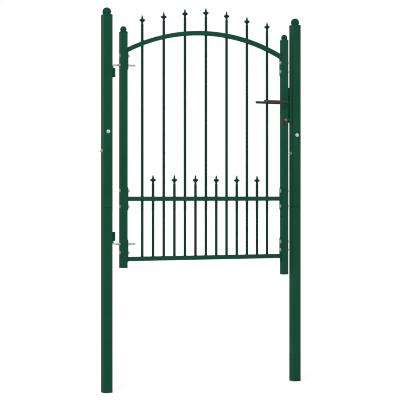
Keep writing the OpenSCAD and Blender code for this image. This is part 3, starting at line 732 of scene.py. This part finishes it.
lay_nuts("post_hex_nuts", "post_nuts", "posts", POST_TUBES, with_washer=True)
lay_nuts("plate_hex_nuts", "plate_nuts", "leaf", LEAF_TUBES)
lay_nuts("rod_hex_nuts", "hinge_rod_nuts", "leaf", LEAF_TUBES, finish=rod_zinc)

# %% [markdown]
# ## Hinge rods
# The leaf hangs on two bent rods. Each one hooks into a lug on the post with its plain leg, turns through
# a quarter circle, and runs threaded through the stile, where a nut on each side sets the gap. A curve
# with a round bevel would do for the bend, but the step from the plain leg to the thinner threaded part
# is easier with rings: a circle is extruded down the rod, spun through the bend and extruded on.

# %% Two bent rods with threads
BEND_R, PLAIN = 10.0, 15.0               # radius of the bend, and length of the arm that has no thread
LEG_CHAMFER, STEP, TIP_CHAMFER = 0.7, 0.6, 0.5


def bent_rod(name, leg, reach):
    """A rod with its bend's corner at the origin: a leg down to -leg and an arm along X to reach."""
    clear()
    foot_r = SCREW_R - LEG_CHAMFER
    bpy.ops.mesh.primitive_circle_add(vertices=32, radius=foot_r * MM)
    rod = settle(bpy.context.object, (0, 0, -leg * MM))
    rod.name = rod.data.name = name
    edit(rod)

    def run(offset, grow=1.0, centre=(0, 0, 0)):
        bpy.ops.mesh.extrude_region_move(TRANSFORM_OT_translate={"value": [v * MM for v in offset]})
        if grow != 1.0:
            bpy.ops.transform.resize(value=(grow,) * 3, center_override=[v * MM for v in centre])

    run((0, 0, LEG_CHAMFER), SCREW_R / foot_r, (0, 0, LEG_CHAMFER - leg))
    run((0, 0, leg - LEG_CHAMFER - BEND_R))
    bpy.ops.mesh.spin(steps=14, angle=math.pi / 2, center=(BEND_R * MM, 0, -BEND_R * MM), axis=(0, -1, 0))
    run((PLAIN - BEND_R, 0, 0))
    run((STEP, 0, 0), CORE_R / SCREW_R, (PLAIN + STEP, 0, 0))
    run((reach - PLAIN - 2 * STEP, 0, 0))
    run((STEP, 0, 0), (CORE_R - TIP_CHAMFER) / CORE_R, (reach, 0, 0))
    for at_end in (lambda c: abs(c.x - reach * MM) < NEAR, lambda c: abs(c.z + leg * MM) < NEAR):
        pick(rod, "edges", lambda c, e: len(e.link_faces) == 1 and at_end(c))
        bpy.ops.mesh.edge_face_add()
    tidy(rod, 40)
    ridge = thread("rod_ridge", reach - PLAIN - 0.8)
    settle(ridge, (0, 0, 0), (0, 90, 0))
    settle(ridge, ((PLAIN + 0.4) * MM, 0, 0))
    return join(name, [rod, ridge])


low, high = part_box("upper_hinge_rod")
rod = bent_rod("upper_bent_rod", (high.z - low.z) / MM - SCREW_R, (high.x - low.x) / MM - SCREW_R)
lower = copy_of(rod)
lower.name = lower.data.name = "lower_bent_rod"
lower.scale.z = -1
tidy(settle(lower), 40)
corner_x = low.x + SCREW_R * MM
settle(rod, (corner_x, 0, high.z - SCREW_R * MM))
settle(lower, (corner_x, 0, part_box("lower_hinge_rod")[0].z + SCREW_R * MM))
dress(rod, "leaf", rod_zinc, "zinc", "upper_hinge_rod")
dress(lower, "leaf", rod_zinc, "zinc", "lower_hinge_rod")

# %% [markdown]
# ## Levers
# The two levers are bent from round bar. Each stands out from the stile on a short neck, turns through a
# quarter circle and runs as a grip towards the hinges, with a slight taper and a rounded end. It is swept
# like the rods, ring by ring: each ring is extruded from the last and scaled about its own middle.

# %% Two levers
low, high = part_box("front_lever")
axis_place = pivots["handle_turn"]
LEVER_R = round((high.x - axis_place.x) / MM, 2)
LEVER_L = round((axis_place.x - low.x) / MM, 2)      # from the spindle to the grip's end
LEVER_OUT = round(-low.y / MM - LEVER_R, 2)          # from the leaf's middle to the middle of the grip
FOOT_OUT = round(-high.y / MM, 2)                    # from the leaf's middle to the lever's foot
LEVER_BEND, FOOT_CHAMFER, END_R = 14.0, 0.5, 2.0     # radius of the bend, foot's edge, rounding of the end


def lever(name):
    """The front lever with the spindle's axis as its Y axis."""
    clear()
    foot_r = LEVER_R - FOOT_CHAMFER
    bpy.ops.mesh.primitive_circle_add(vertices=32, radius=foot_r * MM)
    piece = settle(bpy.context.object, (0, -FOOT_OUT * MM, 0), (90, 0, 0))
    piece.name = piece.data.name = name
    edit(piece)

    def run(offset, grow=(1, 1, 1), centre=(0, 0, 0)):
        bpy.ops.mesh.extrude_region_move(TRANSFORM_OT_translate={"value": [v * MM for v in offset]})
        bpy.ops.transform.resize(value=grow, center_override=[v * MM for v in centre])

    bend_y = LEVER_BEND - LEVER_OUT
    run((0, -FOOT_CHAMFER, 0), (LEVER_R / foot_r,) * 3, (0, -FOOT_OUT - FOOT_CHAMFER, 0))
    run((0, bend_y + FOOT_OUT + FOOT_CHAMFER, 0))
    bpy.ops.mesh.spin(steps=14, angle=math.pi / 2, center=(-LEVER_BEND * MM, bend_y * MM, 0), axis=(0, 0, 1))
    x, size = -LEVER_BEND, LEVER_R
    for step, radius in ((20, 6.4), (30, 6.1), (30, 5.9)):
        x -= step
        run((-step, 0, 0), (1, radius / size, radius / size), (x, -LEVER_OUT, 0))
        size = radius
    rest = LEVER_L + x - END_R
    x -= rest
    run((-rest, 0, 0), centre=(x, -LEVER_OUT, 0))
    last_x, last_r = x, size
    for angle in (22, 45, 68, 90):
        new_x = x - END_R * math.sin(math.radians(angle))
        new_r = size - END_R * (1 - math.cos(math.radians(angle)))
        run((new_x - last_x, 0, 0), (1, new_r / last_r, new_r / last_r), (new_x, -LEVER_OUT, 0))
        last_x, last_r = new_x, new_r
    pick(piece, "edges", lambda c, e: len(e.link_faces) == 1 and abs(c.x - last_x * MM) < NEAR)
    bpy.ops.mesh.edge_face_add()
    pick(piece, "edges", lambda c, e: len(e.link_faces) == 1)
    bpy.ops.mesh.edge_face_add()
    return tidy(piece, 40)


front = lever("front_lever_grip")
rear = copy_of(front)
rear.scale.y = -1
tidy(settle(rear), 40)
rear.name = rear.data.name = "back_lever_grip"
dress(settle(front, axis_place), "handle", lever_black, "black_lever", "front_lever")
dress(settle(rear, axis_place), "handle", lever_black, "black_lever", "back_lever")

# %% [markdown]
# ## Key cylinder
# The cylinder has the profile of a round barrel with a narrower foot below it, so its outline is drawn
# with two arcs, filled and extruded. Joining two bars would leave thin slivers where they meet. A Boolean
# modifier bores the seat of the round plug into each end, and the plug has a keyway that is milled in a
# zigzag.

# %% The cylinder with its plugs
def slab(name, outline, low_y, high_y, rim=0.0):
    """Fills an outline of (x, z) points and draws it out along Y, with its rims broken. Millimetres."""
    piece = trace(name, outline, closed=True)
    settle(piece, (0, low_y * MM, 0))
    edit(piece)
    bpy.ops.mesh.edge_face_add()
    bpy.ops.mesh.extrude_region_move(TRANSFORM_OT_translate={"value": (0, (high_y - low_y) * MM, 0)})
    if rim:
        pick(piece, "edges", lambda c, e: abs(e.verts[0].co.y - e.verts[1].co.y) < NEAR)
        bpy.ops.mesh.bevel(offset=rim * MM, segments=2)
    return tidy(piece, 35)


low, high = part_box("lock_cylinder")
barrel_r, foot_r = 8.5, 5.0
plug_r, plug_depth, plug_set = 5.8, 4.0, 0.2         # plug_set: how far a plug's face lies inside the barrel
half = (high.y - low.y) / 2 / MM
centre = Vector(((low.x + high.x) / 2, (low.y + high.y) / 2, high.z - barrel_r * MM))
foot_drop = (high.z - low.z) / MM - barrel_r - foot_r
shoulder = math.degrees(math.acos(foot_r / barrel_r))
body = slab("key_cylinder", arc((0, 0), (barrel_r, barrel_r), -shoulder, 180 + shoulder, 36)
            + arc((0, -foot_drop), (foot_r, foot_r), 180, 360, 14), -half, half, 0.4)
bends = [(3.6, 0), (1.4, 0), (0.6, 0.6), (-0.8, 0.6), (-1.6, -0.4), (-4.6, -0.4)]    # height, shift along X
way_half_w, way_depth = 0.8, 3.5
seat_line = [(0, -plug_depth), (plug_r + 0.3, -plug_depth), (plug_r + 0.3, 1), (0, 1)]
plug_line = [(0, -plug_depth - 0.5), (plug_r, -plug_depth - 0.5), (plug_r, -plug_set - 0.3),
             (plug_r - 0.3, -plug_set), (0, -plug_set)]
way_line = [(x + way_half_w, z) for z, x in bends] + [(x - way_half_w, z) for z, x in reversed(bends)]
plugs = []
for side in (-1, 1):
    end, turn = (0, side * half * MM, 0), (-90 * side, 0, 0)
    seat = settle(lathe("seat", seat_line, steps=40), end, turn)
    modify(body, "BOOLEAN", operation="DIFFERENCE", object=seat, solver="EXACT")
    plug = settle(lathe("plug", plug_line, steps=40), end, turn)
    keyway = slab("keyway", way_line, side * half - way_depth, side * half + way_depth)
    modify(plug, "BOOLEAN", operation="DIFFERENCE", object=keyway, solver="EXACT")
    plugs.append(tidy(plug, 35))
    discard(seat, keyway)
tidy(body, 35)
dress(settle(body, centre), "leaf", nickel, "satin_nickel", "lock_cylinder")
dress(settle(join("key_plugs", plugs), centre), "leaf", plug_nickel, "satin_nickel")

# %% [markdown]
# ## Screws in the lock's face plate
# The face plate is held by two countersunk screws. The head is turned, and its cross is cut by two
# crossed blocks. It sits flush in the plate with its rim just proud.

# %% Two countersunk screws
FACE_PLATE_T, SCREW_INSET = 2.0, 9.0                 # thickness of the plate, and screw to plate's end
CROSS_SIZE, CROSS_Z = (4.2, 0.9, 1.6), 0.2           # one arm of the cross, and its middle

low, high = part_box("lock_face_plate")
plate_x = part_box("latch_stile")[1].x + FACE_PLATE_T * MM
screw = lathe("face_plate_screw", [(0, -1.6), (2.2, -1.6), (4.0, 0.0), (3.9, 0.18), (3.0, 0.32), (0, 0.36)])
for angle in (0, 90):
    clear()
    bpy.ops.mesh.primitive_cube_add(size=MM)
    blade = bpy.context.object
    blade.scale = CROSS_SIZE
    settle(blade, (0, 0, CROSS_Z * MM), (0, 0, angle))
    modify(screw, "BOOLEAN", operation="DIFFERENCE", object=blade, solver="EXACT")
    discard(blade)
tidy(screw, 35)
settle(screw, (0, 0, 0), (0, 90, 0))
screws = [copy_of(screw, (plate_x, 0, z), (turn, 0, 0))
          for z, turn in ((low.z + SCREW_INSET * MM, 0), (high.z - SCREW_INSET * MM, 12))]
discard(screw)
dress(join("face_plate_screws", screws), "leaf", face_nickel, "satin_nickel")

# %% [markdown]
# ## Weld beads
# Bars, rails, plates, lugs and keep are welded together, and a weld is a row of small overlapping
# ripples. One ripple is a small flattened ball, whose inner half lies hidden in the joint. Around a bar it
# is repeated by a spin with duplicates, and along a straight joint by an Array modifier. The coat runs
# over the beads, so they are green.

# %% One ripple
RING_R, LINE_R, LUG_R, KEEP_R = 1.5, 1.6, 1.9, 1.4   # radius of a ripple, by the joint that it lies on
FLATTEN = 0.75                                       # its thickness along the bead, as a share of its width
RING_STEP = 0.95                                     # ripple to ripple round a bar, as a share of the radius


def ripple(radius):
    """A small flattened ball at the origin, for a bead that runs along X. Millimetres."""
    clear()
    bpy.ops.mesh.primitive_uv_sphere_add(segments=10, ring_count=6, radius=radius * MM)
    ball = bpy.context.object
    ball.name = ball.data.name = "bead"
    edit(ball)
    bpy.ops.transform.resize(value=(FLATTEN, 1.0, 1.0))
    return tidy(ball, 60)


def ring_bead(slope):
    """Ripples round an upright bar, on a face that slopes along X by an angle."""
    bead = settle(ripple(RING_R), (0, (BAR_R + 0.1) * MM, 0))
    copies = round(math.tau * BAR_R / (RING_R * RING_STEP)) - 1
    round_to_last = math.tau * copies / (copies + 1)
    edit(bead)
    bpy.ops.mesh.spin(steps=copies, dupli=True, angle=round_to_last, center=(0, 0, 0), axis=(0, 0, 1))
    hold(bead)
    for vertex in bead.data.vertices:
        vertex.co.z += vertex.co.x * math.tan(slope)
    return bead


def line_bead(start, end, radius=LINE_R):
    """Ripples along a straight joint from start to end, in metres; they overlap by about a third."""
    start, run = Vector(start), Vector(end) - Vector(start)
    bead = ripple(radius)
    count = max(2, int(run.length / (radius * MM)) + 1)
    modify(bead, "ARRAY", count=count, use_relative_offset=False, use_constant_offset=True,
           constant_offset_displace=(run.length / (count - 1), 0, 0))
    turn = run.to_track_quat("X", "Z").to_euler()
    return settle(bead, start, [math.degrees(a) for a in turn])


print("ripples of", RING_R, "to", LUG_R, "mm")

# %% The arch as a circle
rail_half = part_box("middle_rail")[1].y               # half the side of a rail
arch_low, arch_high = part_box("arch_rail")
arch_x = (arch_low.x + arch_high.x) / 2
end_heights = [v.co.z for v in nodes["arch_rail"].data.vertices if v.co.x < arch_low.x + MM]
arch_end_low, arch_end_high = min(end_heights), max(end_heights)
rise, half_span = arch_high.z - arch_end_high, arch_x - arch_low.x
outer_r = (half_span ** 2 + rise ** 2) / (2 * rise)
arch_centre_z = arch_high.z - outer_r
print("the arch's outer radius is", round(outer_r, 4), "m")

# %% Beads round the bars
rail_faces = (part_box("bottom_rail")[1].z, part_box("middle_rail")[0].z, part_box("middle_rail")[1].z)
beads = []
for node in ("tall_bars", "short_bars"):
    for box in solids(node):
        x = middle(box).x
        levels = [(z, 0) for z in rail_faces]
        if node == "tall_bars":
            for radius in (outer_r - 2 * rail_half, outer_r):
                angle = math.asin((x - arch_x) / radius)
                levels.append((arch_centre_z + radius * math.cos(angle), -angle))
        beads += [settle(ring_bead(slope), (x, 0, z)) for z, slope in levels]
dress(join("bar_welds", beads), "leaf", bar_green_painted_shade, "green_coat")

# %% Beads round the rails' ends
END_GAP = 1.5 * MM                                   # a bead starts this far from a corner


def end_beads(x, low_z, high_z, across):
    """Beads on a rail's end at x: one across it at each height in across, and one up each side."""
    inner = rail_half - END_GAP
    return ([line_bead((x, -inner, z), (x, inner, z)) for z in across]
            + [line_bead((x, y, low_z + END_GAP), (x, y, high_z - END_GAP)) for y in (-rail_half, rail_half)])


beads = []
for node in ("middle_rail", "bottom_rail"):
    low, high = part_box(node)
    for x in (low.x, high.x):
        beads += end_beads(x, low.z, high.z, (high.z, low.z))
for x in (arch_low.x, arch_high.x):
    beads += end_beads(x, arch_end_low, arch_end_high, (arch_end_low,))
dress(join("rail_welds", beads), "leaf", cast_green, "green_coat")

# %% Beads on lugs and keep
KEEP_BEAD_L = 18 * MM                                # three short beads on each side hold the keep
beads = []
for node in ("upper_hinge_lug", "lower_hinge_lug"):
    low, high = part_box(node)
    beads += [line_bead((low.x, y, low.z + MM), (low.x, y, high.z - MM), LUG_R) for y in (low.y, high.y)]
low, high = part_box("keep")
for y in (low.y, high.y):
    for z in (low.z + 6 * MM, (low.z + high.z - KEEP_BEAD_L) / 2, high.z - 6 * MM - KEEP_BEAD_L):
        beads.append(line_bead((high.x, y, z), (high.x, y, z + KEEP_BEAD_L), KEEP_R))
dress(join("post_welds", beads), "posts", cast_green, "green_coat")

# %% [markdown]
# ## Camera
# The gate is seen from the left, from half its height, with a long lens. The camera stays level, so that
# the posts stay upright, and a small shift moves the frame instead of a tilt. A narrow filter keeps the
# thin bars crisp.

# %% Camera
camera_data = bpy.data.cameras.new("camera")
camera_data.sensor_width = 36.0
camera_data.lens = 123.95
camera_data.shift_y = -0.0131
camera = bpy.data.objects.new("camera", camera_data)
camera.location = (-2.1664, -5.8743, 0.8965)
camera.rotation_euler = (math.radians(90), 0, -0.4209)
bpy.context.scene.collection.objects.link(camera)
bpy.context.scene.camera = camera
bpy.context.scene.cycles.filter_width = 1.0
print("camera at", tuple(round(v, 2) for v in camera.location))

# %% [markdown]
# ## Light
# One large soft lamp stands to the front left, so that the front and left faces are lit alike and the
# right of each round bar falls into shade. Three weaker ones stand in front on the right, behind on the
# right and behind on the left; the last one reaches the left faces that the leaf shades from the first.
# The world adds an even light, and shows itself white to the camera and in the metal.

# %% Lamps and world
LAMP_SIZE = 3.0
STUDIO_X = 0.5                           # the middle of the studio, near the middle of the gate
AIM = Vector((STUDIO_X, 0, 0.9))
AMBIENT = 0.55                           # the world's light; the camera and the metal see it as 1


def lamp(name, power, place):
    """A round soft lamp that is aimed at the gate."""
    data = bpy.data.lights.new(name, "AREA")
    data.shape, data.size, data.energy = "DISK", LAMP_SIZE, power
    thing = bpy.data.objects.new(name, data)
    thing.location = place
    thing.rotation_euler = (AIM - Vector(place)).to_track_quat("-Z", "Y").to_euler()
    bpy.context.scene.collection.objects.link(thing)
    print(name, "lamp of", power, "W at", place)


lamp("key", 400, (-4.6, -5.8, 6.0))
lamp("fill", 65, (5.0, -5.0, 2.5))
lamp("back", 120, (2.5, 5.0, 3.5))
lamp("side", 75, (-3.6, 4.6, 2.2))

world = bpy.data.worlds.new("studio")
bpy.context.scene.world = world
world.use_nodes = True
tree = world.node_tree
camera_ray, glossy_ray = (add_node(tree, "ShaderNodeLightPath", output=name)
                          for name in ("Is Camera Ray", "Is Glossy Ray"))
feed(tree, tree.nodes["Background"], Color=(1, 1, 1, 1),
     Strength=(camera_ray + glossy_ray) * (1 - AMBIENT) + AMBIENT)

# %% [markdown]
# ## Floor
# The floor is a white studio sweep. It has to keep the soft shadow of the posts, yet it may not show an
# edge or a horizon. So the camera sees its shaded colour mixed with a white glow: near the gate, where
# the gate takes light away, it stays a little below white, and far from the gate there is only the glow.

# %% Floor
FLOOR_SIZE, FLOOR_AT = 80, (STUDIO_X, 25, 0)
FLOOR_WHITE = (0.86, 0.86, 0.86, 1)
GLOW = 1.15                              # strength of the glow
GLOW_NEAR, GLOW_FAR = 0.58, 1.0          # its share near the gate and far from it
NEAR_END, FAR_START = 0.9, 2.2           # metres from the gate's middle, where the share rises

clear()
bpy.ops.mesh.primitive_plane_add(size=FLOOR_SIZE)
floor = settle(bpy.context.object, FLOOR_AT)
floor.name = "floor"
material, tree, shader, place = new_finish("floor_white")
feed(tree, shader, Base_Color=FLOOR_WHITE, Roughness=0.9, Specular_IOR_Level=0.1)
glow = add_node(tree, "ShaderNodeEmission", {}, {"Color": (1, 1, 1, 1), "Strength": GLOW})
away = add_node(tree, "ShaderNodeVectorMath", {"operation": "DISTANCE"},
                {0: place, 1: (STUDIO_X, 0, 0)}, output=1)
share = between(tree, away, NEAR_END, FAR_START) * (GLOW_FAR - GLOW_NEAR) + GLOW_NEAR
camera_ray = add_node(tree, "ShaderNodeLightPath", output="Is Camera Ray")
shaded = Value(tree, shader.outputs[0])
mixed = add_node(tree, "ShaderNodeMixShader", {}, {0: camera_ray * share, 1: shaded, 2: glow})
connect(tree, tree.nodes["Material Output"].inputs[0], mixed)
floor.data.materials.append(material)
floor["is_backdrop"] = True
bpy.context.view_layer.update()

# %% [markdown]
# ## The last measure
# Colours are shown as written, with the Standard view. The box of the finished gate is measured.

bpy.context.scene.view_settings.view_transform = "Standard"
low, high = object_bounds()
